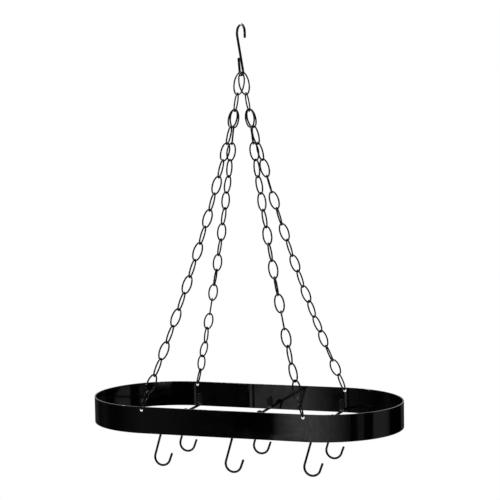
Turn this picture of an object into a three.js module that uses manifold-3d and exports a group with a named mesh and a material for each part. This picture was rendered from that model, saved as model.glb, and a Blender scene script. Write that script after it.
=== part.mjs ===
// Hanging pot rack: a flat steel band bent into a long oval, hung by four chains that meet
// under one ceiling hook, with three cross bars that carry loose pot hooks.
// Millimetres, +Z up. X runs along the oval and Y across it. The origin is the inside top of
// the ceiling hook, the point that rests on whatever holds the rack up.
import * as THREE from "three";
import { mergeVertices } from "three/addons/utils/BufferGeometryUtils.js";
import Module from "manifold-3d";

// ---- Driving dimensions -------------------------------------------------------------------

const CLEARANCE = 0.3; // between two pieces that hang in or lie on one another
const SWAY_CLEARANCE = 0.6; // at the top, between pieces that also sway in one another

// the oval band
const RACK_LENGTH = 610;
const RACK_WIDTH = 297;
const BAND_HEIGHT = 50;
const BAND_THICKNESS = 2.5;
const CHAIN_HOLE_DIAMETER = 6.6;
const CHAIN_HOLE_DEPTH = 5.6; // centre of a chain hole below the band's top edge
const CHAIN_HOLE_PLAY = 0.5; // extra room over the last link, which curves up out of its hole

// the cross bars: round rods whose ends are beaten flat and turned up along the band
const BAR_COUNT = 3;
const BAR_INSET = 0.5; // from an outer bar's flat end to where the band's round end starts
const BAR_DIAMETER = 5;
const BAR_BEND_RADIUS = 6;
const BAR_END_WIDTH = 10;
const BAR_END_THICKNESS = 2;
const BAR_END_HEIGHT = 24; // from the rod's centre to the top of the turned-up end
const BAR_TAPER = 14; // length over which the round rod spreads into the flat end

// the chains
const LINKS_PER_CHAIN = 18;
const LINK_LENGTH = 38.3;
const LINK_WIDTH = 19.5;
const LINK_WIRE = 2.8;
const LINK_WELD = 0.4; // how far the two links of a pair sink into one another
const CHAIN_SAG = 0.075; // pull towards the middle at half height, as a share of the run
const TWIST_GATHER = 0.8; // how much of a chain's twist gathers near its two ends

// the two large ovals under the ceiling hook
const OVAL_LENGTH = 46;
const OVAL_WIDTH = 22;
const OVAL_WIRE = 3;
const OVAL_TURN = 30; // degrees from the rack's long axis to the ovals' broad side
const OVAL_PAIR_GAP = 0.7; // between the two ovals, side by side in the hook's lower eye

// the ceiling hook
const CEILING_HOOK_HEIGHT = 100;
const CEILING_HOOK_WIRE = 4.8;
const CEILING_HOOK_TURN = -43; // degrees from the rack's long axis to the hook's flat side
const UPPER_EYE_RADIUS = 15.5; // centre line of the wire
const UPPER_TIP_LENGTH = 11;
const OVAL_SEAT_DEPTH = 1.2; // the ovals' wires lie this far under the lower eye's centre
const LOWER_TIP_LENGTH = 28;
const LOWER_TIP_FLARE = 8; // degrees

// the pot hooks
const POT_HOOK_WIRE = 4;
const POT_HOOK_DROP = 64; // from the bar's centre to the centre of the lower bend
const POT_HOOK_BEND_RADIUS = 15.5; // centre line of the lower bend
const POT_HOOK_TIP_LENGTH = 15;
const POT_HOOK_TIP_FLARE = 22; // degrees
const CROOK_TIP_LENGTH = 4;
// where each hook hangs along its bar, measured from the rack's long axis
const POT_HOOK_PLACES = { front: [-67, -87, -79], back: [65, 80, 73] };

// facets
const RING_STEPS = 12; // round a chain link
const OVAL_STEPS = 16; // round one of the large ovals
const WIRE_SIDES = 6;
const THICK_WIRE_SIDES = 8;
const BEND_STEP = 30; // most degrees of a wire's bend per facet
const BAR_BEND_STEP = 45; // and of a cross bar's
const BAND_ARC_SEGMENTS = 9; // per quarter turn of the band's round ends
const HOLE_SIDES = 16;

const LONG_NAMES = ["left", "middle", "right"];
const X_AXIS = new THREE.Vector3(1, 0, 0);
const Y_AXIS = new THREE.Vector3(0, 1, 0);
const UP = new THREE.Vector3(0, 0, 1);

// ---- Materials ----------------------------------------------------------------------------

const blackPaint = () => new THREE.MeshStandardMaterial({
  color: 0x121214, roughness: 0.3, metalness: 0.0,
});
const chainSteel = () => new THREE.MeshStandardMaterial({
  color: 0x17171a, roughness: 0.35, metalness: 0.4,
});

// ---- Joining and cutting closed meshes ------------------------------------------------------

const wasm = await Module();
wasm.setup();

function toSolid(geometry) {
  const bare = geometry.clone();
  bare.deleteAttribute("normal");
  bare.deleteAttribute("uv");
  const merged = mergeVertices(bare, 1e-4);
  return new wasm.Manifold(new wasm.Mesh({
    numProp: 3,
    vertProperties: new Float32Array(merged.attributes.position.array),
    triVerts: new Uint32Array(merged.index.array),
  }));
}

function toGeometry(solid) {
  const mesh = solid.getMesh();
  const geometry = new THREE.BufferGeometry();
  geometry.setAttribute("position", new THREE.BufferAttribute(mesh.vertProperties, 3));
  geometry.setIndex(new THREE.BufferAttribute(mesh.triVerts, 1));
  geometry.computeVertexNormals();
  return geometry;
}

// ---- Wire forms -----------------------------------------------------------------------------

// A closed oval of round wire, long side along Z and broad side along X. A torus is reshaped
// point by point: its ring angle runs along an ellipse, with the steps closer at the crowns,
// and its tube angle becomes the round of the wire.
function ovalRing(length, width, wire, steps) {
  const ring = new THREE.TorusGeometry(1, 0.5, WIRE_SIDES, steps);
  const halfLength = (length - wire) / 2;
  const halfWidth = (width - wire) / 2;
  const points = ring.attributes.position;
  for (let i = 0; i < points.count; i++) {
    const [x, y, z] = [points.getX(i), points.getY(i), points.getZ(i)];
    const even = Math.atan2(y, x);
    const angle = even - 0.25 * Math.sin(2 * even);
    const outward = (Math.hypot(x, y) - 1) * wire;
    const slope = new THREE.Vector2(halfWidth * Math.cos(angle), halfLength * Math.sin(angle));
    slope.normalize();
    points.setXYZ(
      i,
      halfWidth * Math.sin(angle) + slope.y * outward,
      z * wire,
      halfLength * Math.cos(angle) + slope.x * outward,
    );
  }
  return facingOut(ring);
}

// The same geometry with its faces turned round where they point inwards.
function facingOut(geometry) {
  const corners = geometry.index.array;
  const points = geometry.attributes.position;
  const [a, b, c] = [new THREE.Vector3(), new THREE.Vector3(), new THREE.Vector3()];
  let volume = 0;
  for (let i = 0; i < corners.length; i += 3) {
    a.fromBufferAttribute(points, corners[i]);
    b.fromBufferAttribute(points, corners[i + 1]);
    c.fromBufferAttribute(points, corners[i + 2]);
    volume += a.dot(b.cross(c));
  }
  if (volume < 0) corners.reverse();
  geometry.computeVertexNormals();
  return geometry;
}

// A bent rod: sections with so many sides, one at each point of a flat centre line. Each
// station is { at, thick, wide, square }: its place, its half size in the plane of the bends
// and across it, and how square its section is, from 1 for round down to 0.
function bentRod(stations, planeNormal, sides) {
  const corners = [];
  const faces = [];
  const last = stations.length - 1;
  stations.forEach(({ at, thick, wide, square }, i) => {
    const before = at.clone().sub(stations[Math.max(i - 1, 0)].at).normalize();
    const after = stations[Math.min(i + 1, last)].at.clone().sub(at).normalize();
    const along = before.clone().add(after).normalize();
    const mitre = i > 0 && i < last ? along.dot(after) : 1;
    const inPlane = new THREE.Vector3().crossVectors(planeNormal, along);
    for (let side = 0; side < sides; side++) {
      const angle = (2 * Math.PI * side) / sides;
      const roundTo = (value) => Math.sign(value) * Math.abs(value) ** square;
      corners.push(at.clone()
        .addScaledVector(inPlane, (thick / mitre) * roundTo(Math.cos(angle)))
        .addScaledVector(planeNormal, wide * roundTo(Math.sin(angle))));
    }
  });
  for (let i = 0; i < last; i++) {
    for (let side = 0; side < sides; side++) {
      const next = (side + 1) % sides;
      const [a, b] = [i * sides + side, i * sides + next];
      faces.push(a, b, b + sides, a, b + sides, a + sides);
    }
  }
  for (let side = 1; side < sides - 1; side++) {
    faces.push(0, side + 1, side);
    faces.push(last * sides, last * sides + side, last * sides + side + 1);
  }
  const geometry = new THREE.BufferGeometry().setFromPoints(corners);
  geometry.setIndex(faces);
  return facingOut(geometry);
}

// Points of an arc in a flat drawing, from one angle to another in degrees.
function arcPoints(centre, radius, from, to, most = BEND_STEP) {
  const steps = Math.ceil(Math.abs(to - from) / most);
  return Array.from({ length: steps + 1 }, (_, i) => {
    const angle = THREE.MathUtils.degToRad(from + ((to - from) * i) / steps);
    return new THREE.Vector2(Math.cos(angle), Math.sin(angle)).multiplyScalar(radius).add(centre);
  });
}

// The point that lies so far from another, in a direction in degrees.
function pointAway(from, distance, direction) {
  const angle = THREE.MathUtils.degToRad(direction);
  return new THREE.Vector2(Math.cos(angle), Math.sin(angle)).multiplyScalar(distance).add(from);
}

// A round wire along a flat drawing, with softly rounded cut ends. The drawing's first axis
// becomes `flat` and its second becomes +Z.
function bentWire(drawing, wire, flat, sides) {
  const radius = wire / 2;
  const points = drawing.map((p) => flat.clone().multiplyScalar(p.x).addScaledVector(UP, p.y));
  const stations = points.map((at) => ({ at, thick: radius, wide: radius, square: 1 }));
  for (const [end, next] of [[0, 1], [points.length - 1, points.length - 2]]) {
    const inward = points[next].clone().sub(points[end]).normalize();
    const shoulder = points[end].clone().addScaledVector(inward, radius * 0.6);
    const full = { at: shoulder, thick: radius, wide: radius, square: 1 };
    stations[end] = { ...stations[end], thick: radius * 0.5, wide: radius * 0.5 };
    if (end === 0) stations.splice(1, 0, full);
    else stations.splice(stations.length - 1, 0, full);
  }
  return bentRod(stations, new THREE.Vector3().crossVectors(flat, UP), sides);
}

// ---- The ceiling hook -----------------------------------------------------------------------

const hookFlat = X_AXIS.clone().applyAxisAngle(UP, THREE.MathUtils.degToRad(CEILING_HOOK_TURN));
const hookRadius = CEILING_HOOK_WIRE / 2;
// the two ovals lie side by side in the lower eye, each this far from its middle
const ovalOffset = (OVAL_WIRE + OVAL_PAIR_GAP) / 2;
const lowerEyeRadius = Math.hypot(ovalOffset, OVAL_SEAT_DEPTH) + hookRadius + OVAL_WIRE / 2
  + SWAY_CLEARANCE;
const upperEye = new THREE.Vector2(0, hookRadius - UPPER_EYE_RADIUS);
const lowerEye = new THREE.Vector2(0, CEILING_HOOK_WIRE - CEILING_HOOK_HEIGHT + hookRadius
  + lowerEyeRadius);

function ceilingHookDrawing() {
  // the straight leg crosses from the upper eye's left to the lower eye's right and touches both
  const reach = (UPPER_EYE_RADIUS + lowerEyeRadius) / (upperEye.y - lowerEye.y);
  const lean = THREE.MathUtils.radToDeg(Math.asin(reach));
  const upper = arcPoints(upperEye, UPPER_EYE_RADIUS, 0, 180 + lean);
  const lower = arcPoints(lowerEye, lowerEyeRadius, lean, LOWER_TIP_FLARE - 180);
  const upperTip = pointAway(upper[0], UPPER_TIP_LENGTH, -90);
  const lowerTip = pointAway(lower.at(-1), LOWER_TIP_LENGTH, 90 + LOWER_TIP_FLARE);
  return [upperTip, ...upper, ...lower, lowerTip];
}

function ceilingHook() {
  const wire = bentWire(ceilingHookDrawing(), CEILING_HOOK_WIRE, hookFlat, THICK_WIRE_SIDES);
  return piece("ceiling_hook", wire, blackPaint());
}

// ---- How the chains hang --------------------------------------------------------------------

const linkCrownSpan = LINK_LENGTH - LINK_WIRE; // between the wire centres of a link's two ends
const ovalCrownSpan = OVAL_LENGTH - OVAL_WIRE;
const linkSeat = LINK_WIRE + CLEARANCE; // between the wire centres of two hung links
const holeX = (RACK_LENGTH - RACK_WIDTH) / 2; // where the straight sides meet the round ends
const holeY = (RACK_WIDTH - BAND_THICKNESS) / 2;

// The value between two limits at which a rising function passes zero.
function solve(rising, low, high) {
  for (let pass = 0; pass < 60; pass++) {
    const middle = (low + high) / 2;
    if (rising(middle) > 0) high = middle;
    else low = middle;
  }
  return (low + high) / 2;
}

// One chain's line from its top to its hole. It drops evenly and runs out slowly at first,
// the way a hanging chain does.
class ChainLine extends THREE.Curve {
  constructor(top, end) {
    super();
    this.top = top;
    this.end = end;
    this.arcLengthDivisions = 100;
  }
  getPoint(t, target = new THREE.Vector3()) {
    const out = t - 4 * CHAIN_SAG * t * (1 - t);
    return target.set(
      THREE.MathUtils.lerp(this.top.x, this.end.x, out),
      THREE.MathUtils.lerp(this.top.y, this.end.y, out),
      THREE.MathUtils.lerp(this.top.z, this.end.z, t),
    );
  }
}

// Where link number i starts along its chain. The links of a pair are welded to one another,
// and each pair hangs from the one above with a clearance.
function linkStart(i) {
  const pairs = Math.floor(i / 2);
  const welded = linkCrownSpan - LINK_WIRE + LINK_WELD;
  const hung = linkCrownSpan - linkSeat;
  return pairs * (welded + hung) + (i % 2) * welded;
}
const chainLength = linkStart(LINKS_PER_CHAIN - 1) + linkCrownSpan;
// a last link leans inwards, so its crown lies a little outside its lowest point
const crownRadius = (LINK_WIDTH - LINK_WIRE) ** 2 / (2 * linkCrownSpan);
const lastCrownY = holeY + (crownRadius * holeY) / chainLength;

// The direction in which the ovals and shared links hang: down, and out to one side.
const pullDirection = (side, lean) => new THREE.Vector3(side * Math.sin(lean), 0, -Math.cos(lean));

// The two ends of an oval's centre line, from the hook's lower eye to over the long axis.
function ovalEnds(side, lean) {
  const upper = hookFlat.clone().multiplyScalar(side * ovalOffset);
  upper.z = lowerEye.y - OVAL_SEAT_DEPTH;
  const lower = upper.clone().addScaledVector(pullDirection(side, lean), ovalCrownSpan);
  const drop = Math.sqrt(ovalCrownSpan ** 2 - (lower.x - upper.x) ** 2 - upper.y ** 2);
  return { upper, lower: new THREE.Vector3(lower.x, 0, upper.z - drop) };
}

// The two ends of the shared link that hangs in an oval.
function sharedEnds(side, lean) {
  const pull = pullDirection(side, lean);
  const seat = (OVAL_WIRE + LINK_WIRE) / 2 + SWAY_CLEARANCE;
  const upper = ovalEnds(side, lean).lower.addScaledVector(pull, -seat);
  return { upper, lower: upper.clone().addScaledVector(pull, linkCrownSpan) };
}

// The top of a chain: its first link lies beside its neighbour on the shared link's lower end.
function chainTop(side, face, lean) {
  const halfLength = linkCrownSpan / 2;
  const halfWidth = (LINK_WIDTH - LINK_WIRE) / 2;
  const ends = sharedEnds(side, lean);
  const offsetPoint = (angle) => {
    const [cos, sin] = [Math.cos(angle), Math.sin(angle)];
    const normal = Math.hypot(halfWidth * cos, halfLength * sin);
    return {
      aside: halfWidth * sin - (linkSeat * halfLength * sin) / normal,
      along: halfLength * cos - (linkSeat * halfWidth * cos) / normal,
    };
  };
  const angle = solve((value) => offsetPoint(value).aside - linkSeat / 2, 0.1, 1.2);
  const seat = offsetPoint(angle);
  return ends.upper.clone().lerp(ends.lower, 0.5)
    .addScaledVector(pullDirection(side, lean), seat.along)
    .addScaledVector(Y_AXIS, face * seat.aside);
}

// The drop at which the chains just reach their holes, and the lean of the links above them,
// which follow the chains' pull.
function settle() {
  let lean = 0.15;
  let drop = chainLength;
  for (let pass = 0; pass < 10; pass++) {
    const top = chainTop(1, 1, lean);
    const length = (value) =>
      new ChainLine(top, new THREE.Vector3(holeX, lastCrownY, top.z - value)).getLength();
    drop = solve((value) => length(value) - chainLength, 0, chainLength);
    lean = Math.atan(((1 - 4 * CHAIN_SAG) * (holeX - top.x)) / drop);
  }
  return { lean, drop };
}
const { lean, drop } = settle();
const lastCrownZ = chainTop(1, 1, lean).z - drop;
const holeZ = lastCrownZ + LINK_WIRE / 2 + CLEARANCE + CHAIN_HOLE_PLAY - CHAIN_HOLE_DIAMETER / 2;
const bandTop = holeZ + CHAIN_HOLE_DEPTH;
const bandBottom = bandTop - BAND_HEIGHT;

// ---- Links ------------------------------------------------------------------------------------

// The placing of a ring between two ends, with its broad side turned towards a direction.
function ringPlace(upper, lower, broad) {
  const up = upper.clone().sub(lower).normalize();
  const across = broad.clone().addScaledVector(up, -broad.dot(up)).normalize();
  const matrix = new THREE.Matrix4().makeBasis(across, up.clone().cross(across), up);
  return matrix.setPosition(upper.clone().lerp(lower, 0.5));
}

const chainLink = ovalRing(LINK_LENGTH, LINK_WIDTH, LINK_WIRE, RING_STEPS);
const largeOval = ovalRing(OVAL_LENGTH, OVAL_WIDTH, OVAL_WIRE, OVAL_STEPS);

function largeOvalPiece(name, side) {
  const { upper, lower } = ovalEnds(side, lean);
  const broad = X_AXIS.clone().applyAxisAngle(UP, THREE.MathUtils.degToRad(OVAL_TURN));
  return placed(piece(name, largeOval.clone(), chainSteel()), ringPlace(upper, lower, broad));
}

function sharedLinkPiece(name, side) {
  const { upper, lower } = sharedEnds(side, lean);
  return placed(piece(name, chainLink.clone(), chainSteel()), ringPlace(upper, lower, Y_AXIS));
}

// Each link stands at right angles to the one above it. A chain that was hooked up with half
// a turn of twist loses that turn along its length, mostly near its ends.
function linkTurn(i, halfTurns) {
  const along = i / (LINKS_PER_CHAIN - 1);
  const gathered = along + (TWIST_GATHER * Math.sin(2 * Math.PI * along)) / (2 * Math.PI);
  return (Math.PI / 2) * i - Math.PI * halfTurns * gathered;
}

function linkPlaces({ side, face, halfTurns }) {
  const top = chainTop(side, face, lean);
  const end = new THREE.Vector3(side * holeX, face * lastCrownY, lastCrownZ);
  const line = new ChainLine(top, end);
  const total = line.getLength();
  return Array.from({ length: LINKS_PER_CHAIN }, (_, i) => {
    const upper = line.getPointAt(linkStart(i) / total);
    const lower = line.getPointAt(Math.min((linkStart(i) + linkCrownSpan) / total, 1));
    const down = lower.clone().sub(upper).normalize();
    const across = X_AXIS.clone().addScaledVector(down, -X_AXIS.dot(down)).normalize();
    return ringPlace(upper, lower, across.applyAxisAngle(down, linkTurn(i, halfTurns)));
  });
}

// A chain, as welded pairs of links that hang from one another.
function chain({ name, ...route }) {
  const places = linkPlaces(route);
  const group = new THREE.Group();
  for (let i = 0; i < LINKS_PER_CHAIN; i += 2) {
    const ownFrame = places[i].clone().invert();
    const pair = places.slice(i, i + 2)
      .map((place) => toSolid(chainLink.clone().applyMatrix4(ownFrame.clone().multiply(place))))
      .reduce((joined, link) => joined.add(link));
    const numbers = places.slice(i, i + 2).map((_, k) => String(i + k + 1).padStart(2, "0"));
    const links = piece(`${name}_links_${numbers.join("_")}`, toGeometry(pair), chainSteel());
    group.add(placed(links, places[i]));
  }
  return group;
}

const CHAINS = [
  { name: "chain_front_left", side: -1, face: -1, halfTurns: 0 },
  { name: "chain_front_right", side: 1, face: -1, halfTurns: 1 },
  { name: "chain_back_left", side: -1, face: 1, halfTurns: 1 },
  { name: "chain_back_right", side: 1, face: 1, halfTurns: -1 },
];

// ---- The oval band ------------------------------------------------------------------------------

// Half-round ends joined by straight sides, drawn into a shape or a path.
function ovalOutline(path, radius) {
  path.moveTo(-holeX, -radius);
  path.lineTo(holeX, -radius);
  path.absarc(holeX, 0, radius, -Math.PI / 2, Math.PI / 2, false);
  path.lineTo(-holeX, radius);
  path.absarc(-holeX, 0, radius, Math.PI / 2, (3 * Math.PI) / 2, false);
  return path;
}

function ovalBand() {
  const outline = ovalOutline(new THREE.Shape(), RACK_WIDTH / 2);
  outline.holes.push(ovalOutline(new THREE.Path(), RACK_WIDTH / 2 - BAND_THICKNESS));
  const strip = new THREE.ExtrudeGeometry(outline, {
    depth: BAND_HEIGHT, bevelEnabled: false, curveSegments: BAND_ARC_SEGMENTS,
  });
  let band = toSolid(strip.translate(0, 0, bandBottom));
  for (const { side } of CHAINS.filter(({ face }) => face > 0)) {
    const drill = new THREE.CylinderGeometry(
      CHAIN_HOLE_DIAMETER / 2, CHAIN_HOLE_DIAMETER / 2, RACK_WIDTH * 2, HOLE_SIDES,
    );
    band = band.subtract(toSolid(drill.translate(side * holeX, 0, holeZ)));
  }
  return piece("oval_band", toGeometry(band), blackPaint());
}

// ---- The cross bars -----------------------------------------------------------------------------

const barZ = bandBottom + BAR_DIAMETER / 2;
const outerBarX = holeX - BAR_END_WIDTH / 2 - BAR_INSET;
const barX = (i) => outerBarX * ((2 * i) / (BAR_COUNT - 1) - 1);

// Half of a bar as stations from its middle outwards and up its flat end. `face` is -1 or 1.
function barHalf(face) {
  const wallY = RACK_WIDTH / 2 - BAND_THICKNESS - CLEARANCE - BAR_END_THICKNESS / 2;
  const round = BAR_DIAMETER / 2;
  const [thin, broad] = [BAR_END_THICKNESS / 2, BAR_END_WIDTH / 2];
  const bendY = wallY - BAR_BEND_RADIUS;
  const station = (y, z, thick, wide, square) => ({
    at: new THREE.Vector3(0, face * y, z), thick, wide, square,
  });
  const bendCentre = new THREE.Vector2(bendY, BAR_BEND_RADIUS);
  const bend = arcPoints(bendCentre, BAR_BEND_RADIUS, -90, 0, BAR_BEND_STEP)
    .map((p) => station(p.x, p.y, thin, broad, 0.4));
  return [
    station(bendY - BAR_TAPER, 0, round, round, 1),
    ...bend,
    station(wallY, BAR_END_HEIGHT - broad * 0.6, thin, broad, 0.4),
    station(wallY, BAR_END_HEIGHT - broad * 0.15, thin, broad * 0.75, 0.5),
    station(wallY, BAR_END_HEIGHT, thin * 0.8, broad * 0.35, 0.7),
  ];
}

function crossBar(i) {
  const stations = [...barHalf(-1).reverse(), ...barHalf(1)];
  const bar = piece(`cross_bar_${LONG_NAMES[i]}`, bentRod(stations, X_AXIS, THICK_WIRE_SIDES),
    blackPaint());
  bar.position.set(barX(i), 0, barZ);
  return bar;
}

// ---- The pot hooks --------------------------------------------------------------------------------

// A wire drawing turned about its origin until its weight hangs straight below.
function plumb(drawing) {
  const centroid = new THREE.Vector2();
  let total = 0;
  for (let i = 1; i < drawing.length; i++) {
    const length = drawing[i].distanceTo(drawing[i - 1]);
    const middle = drawing[i].clone().lerp(drawing[i - 1], 0.5);
    centroid.addScaledVector(middle, length);
    total += length;
  }
  centroid.divideScalar(total);
  const turn = -Math.atan2(centroid.x, -centroid.y);
  return drawing.map((p) => p.clone().rotateAround(new THREE.Vector2(), turn));
}

function potHookDrawing() {
  const crookRadius = (BAR_DIAMETER + POT_HOOK_WIRE) / 2 + CLEARANCE;
  const bar = new THREE.Vector2();
  const bendCentre = new THREE.Vector2(0, -POT_HOOK_DROP);
  // the shank runs from the bar's right to the lower bend's left and touches both curves
  const reach = (crookRadius + POT_HOOK_BEND_RADIUS) / POT_HOOK_DROP;
  const shankLean = THREE.MathUtils.radToDeg(Math.asin(reach));
  const crook = arcPoints(bar, crookRadius, 180, -shankLean);
  const bend = arcPoints(bendCentre, POT_HOOK_BEND_RADIUS, 180 - shankLean,
    360 - POT_HOOK_TIP_FLARE);
  const crookTip = pointAway(crook[0], CROOK_TIP_LENGTH, -90);
  const tip = pointAway(bend.at(-1), POT_HOOK_TIP_LENGTH, 90 - POT_HOOK_TIP_FLARE);
  return plumb([crookTip, ...crook, ...bend, tip]);
}

function potHook(name, i, y) {
  const wire = bentWire(potHookDrawing(), POT_HOOK_WIRE, X_AXIS, WIRE_SIDES);
  const hook = piece(name, wire, blackPaint());
  hook.position.set(barX(i), y, barZ);
  return hook;
}

// ---- Assembly ---------------------------------------------------------------------------------------

function piece(name, geometry, material) {
  const mesh = new THREE.Mesh(geometry, material);
  mesh.name = name;
  return mesh;
}

function placed(mesh, matrix) {
  mesh.applyMatrix4(matrix);
  return mesh;
}

const rack = new THREE.Group();
rack.add(ceilingHook());
rack.add(largeOvalPiece("top_oval_left", -1), largeOvalPiece("top_oval_right", 1));
rack.add(sharedLinkPiece("shared_link_left", -1), sharedLinkPiece("shared_link_right", 1));
CHAINS.forEach((route) => rack.add(chain(route)));
rack.add(ovalBand());
for (let i = 0; i < BAR_COUNT; i++) {
  rack.add(crossBar(i));
  for (const [row, places] of Object.entries(POT_HOOK_PLACES)) {
    rack.add(potHook(`pot_hook_${row}_${LONG_NAMES[i]}`, i, places[i]));
  }
}

export default rack;
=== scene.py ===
# %% [markdown]
# # A hanging pot rack in black paint
# A flat steel band is bent into a long oval and hung by four chains. Three cross bars span it
# and six loose hooks hang on the bars. Almost all of it is wire or strip that is bent, so most
# pieces here are one shape swept along another: a circle along a hook's bends, a circle round
# an oval for a link, a thin upright bar of steel along the band's outline. The CAD part gives
# the sizes and places in metres, and this file gives each piece its fine shape and its paint.

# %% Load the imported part
import math

import bmesh
import bpy
from mathutils import Matrix, Vector


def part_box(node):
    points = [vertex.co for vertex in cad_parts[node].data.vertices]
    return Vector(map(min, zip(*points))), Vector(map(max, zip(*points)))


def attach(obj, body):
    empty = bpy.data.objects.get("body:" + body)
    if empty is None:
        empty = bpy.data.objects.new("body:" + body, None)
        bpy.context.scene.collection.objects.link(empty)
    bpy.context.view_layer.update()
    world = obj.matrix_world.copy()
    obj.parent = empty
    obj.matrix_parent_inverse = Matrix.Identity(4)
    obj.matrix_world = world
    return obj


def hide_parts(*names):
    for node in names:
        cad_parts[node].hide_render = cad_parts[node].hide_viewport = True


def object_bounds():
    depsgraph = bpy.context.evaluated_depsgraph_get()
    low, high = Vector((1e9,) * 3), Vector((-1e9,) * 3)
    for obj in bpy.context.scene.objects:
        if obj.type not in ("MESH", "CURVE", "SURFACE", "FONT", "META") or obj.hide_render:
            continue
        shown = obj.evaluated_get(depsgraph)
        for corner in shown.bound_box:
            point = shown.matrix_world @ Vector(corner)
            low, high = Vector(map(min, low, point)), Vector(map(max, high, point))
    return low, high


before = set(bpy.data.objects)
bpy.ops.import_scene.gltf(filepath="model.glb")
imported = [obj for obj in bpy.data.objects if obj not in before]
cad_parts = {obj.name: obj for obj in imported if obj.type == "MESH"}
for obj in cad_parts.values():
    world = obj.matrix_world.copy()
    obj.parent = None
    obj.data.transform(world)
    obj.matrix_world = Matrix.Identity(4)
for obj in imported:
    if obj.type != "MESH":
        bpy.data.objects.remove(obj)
cad_low, cad_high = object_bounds()
print("CAD box, metres:", [round(v, 4) for v in cad_low], [round(v, 4) for v in cad_high])

# %% [markdown]
# ## The camera
# The rack is seen from a little right of its front and from slightly above its band, through a
# long lens, so the oval looks flat and the chains keep nearly the same size from top to bottom.
# A camera can be aimed with a constraint, but here it is built from its three axes, because the
# picture is also tipped by a small roll, and one matrix holds all of that.

# %% Camera at the photograph's viewing angle
CAMERA_AZIMUTH = 18.919  # degrees to the right of the rack's front
CAMERA_DISTANCE = 2.646
CAMERA_HEIGHT = -0.242
CAMERA_TURN = 18.677  # the way it faces, which sets the rack a little off the middle
CAMERA_PITCH = 3.954
CAMERA_ROLL = -0.870
CAMERA_LENS, CAMERA_SENSOR = 99.99, 36.0  # millimetres
CLIP_NEAR, CLIP_FAR = 0.05, 60.0


def camera_matrix():
    azimuth, turn, pitch, roll = (
        math.radians(v) for v in (CAMERA_AZIMUTH, CAMERA_TURN, CAMERA_PITCH, CAMERA_ROLL)
    )
    place = Vector((math.sin(azimuth), -math.cos(azimuth), 0)) * CAMERA_DISTANCE
    place.z = CAMERA_HEIGHT
    forward = Vector((
        -math.sin(turn) * math.cos(pitch),
        math.cos(turn) * math.cos(pitch),
        -math.sin(pitch),
    ))
    level_right = Vector((math.cos(turn), math.sin(turn), 0))
    level_up = level_right.cross(forward)
    right = level_right * math.cos(roll) + level_up * math.sin(roll)
    up = level_up * math.cos(roll) - level_right * math.sin(roll)
    axes = Matrix((right, up, -forward)).transposed()
    return Matrix.Translation(place) @ axes.to_4x4()


camera_data = bpy.data.cameras.new("camera")
camera_data.lens = CAMERA_LENS
camera_data.sensor_width = CAMERA_SENSOR
camera_data.clip_start, camera_data.clip_end = CLIP_NEAR, CLIP_FAR
camera = bpy.data.objects.new("camera", camera_data)
camera.matrix_world = camera_matrix()
bpy.context.scene.collection.objects.link(camera)
bpy.context.scene.camera = camera
bpy.context.scene.view_settings.view_transform = "Standard"
print("camera at", [round(v, 3) for v in camera.location])

# %% [markdown]
# ## The room
# Black paint shows hardly any colour of its own. What the eye reads is what the paint mirrors,
# so the room matters as much as the paint. Round the rack stand black screens with a few white
# cards between them. One card in front shows inside the back of the band, beside the weld, and
# cards to the right show as upright streaks in the round end. Lamps would do for cards, but
# here the room itself is painted: a colour ramp runs once round the horizon, and its stops say
# how bright the room is in each direction. Blender reads a ramp in steps of 1.4 degrees of that
# turn and keeps at most 32 stops, so the cards are few and none is narrower than a step.

# %% Screens and cards, all the way round
ROOM_RIGHT_ROUND = (
    # degrees to the right of straight in front, and the brightness there
    (-180, 0.04), (-150, 0.06), (-128, 0.05), (-112, 0.01), (-95, 0.04), (-80, 0.01), (-66, 0.01),
    (-52, 0.04), (-42, 0.06), (-24, 0.10), (-21.6, 0.10), (-20.9, 0.01), (-18.3, 0.01),
    (-16.9, 1.0), (-15.5, 0.0), (50, 0.0), (61.5, 0.02), (64.5, 0.15), (72, 0.15), (74, 0.01),
    (88, 0.0), (90.5, 0.27), (112, 0.21), (120, 0.10), (124, 0.0), (157, 0.0), (163, 0.06),
)


def room_ramp(nodes):
    """A ramp of greys that runs from straight behind, round by the left, to behind again."""
    node = nodes.new("ShaderNodeValToRGB")
    stops = node.color_ramp.elements
    while len(stops) > 1:
        stops.remove(stops[-1])
    for i, (degrees, grey) in enumerate(ROOM_RIGHT_ROUND):
        position = (degrees + 180) / 360
        stop = stops[0] if i == 0 else stops.new(position)
        stop.position = position
        stop.color = (grey, grey, grey, 1)
    return node


print("room:", len(ROOM_RIGHT_ROUND), "stops round the horizon")

# %% [markdown]
# ## Helpers for node trees
# The world and the paints are trees of nodes, and most of their nodes are plain arithmetic or
# turn one range into another. They could be placed by hand in the editor. Written as functions
# whose results feed each other, they read like sums, and one function serves every tree.

# %% Node helpers
def node_material(name):
    material = bpy.data.materials.new(name)
    material.use_nodes = True
    return material, material.node_tree.nodes, material.node_tree.links


def math_node(nodes, links, operation, *values):
    node = nodes.new("ShaderNodeMath")
    node.operation = operation
    for socket, value in zip(node.inputs, values):
        if isinstance(value, (int, float)):
            socket.default_value = value
        else:
            links.new(value, socket)
    return node.outputs[0]


def range_node(nodes, links, source, low, high, start=0.0, stop=1.0, smooth=False):
    node = nodes.new("ShaderNodeMapRange")
    if smooth:
        node.interpolation_type = "SMOOTHSTEP"
    node.inputs["From Min"].default_value = start
    node.inputs["From Max"].default_value = stop
    node.inputs["To Min"].default_value = low
    node.inputs["To Max"].default_value = high
    links.new(source, node.inputs["Value"])
    return node.outputs["Result"]


# %% [markdown]
# ## The world
# A mirrored ray leaves in some direction. Its bearing picks the place on the ramp, and with its
# height the ramp's screens and cards fade out. Above them the room is dark in front, and behind
# the rack it holds a broad pale screen. What isn't a mirror gets the same soft light from all
# sides, and the camera sees plain white everywhere.

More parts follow.
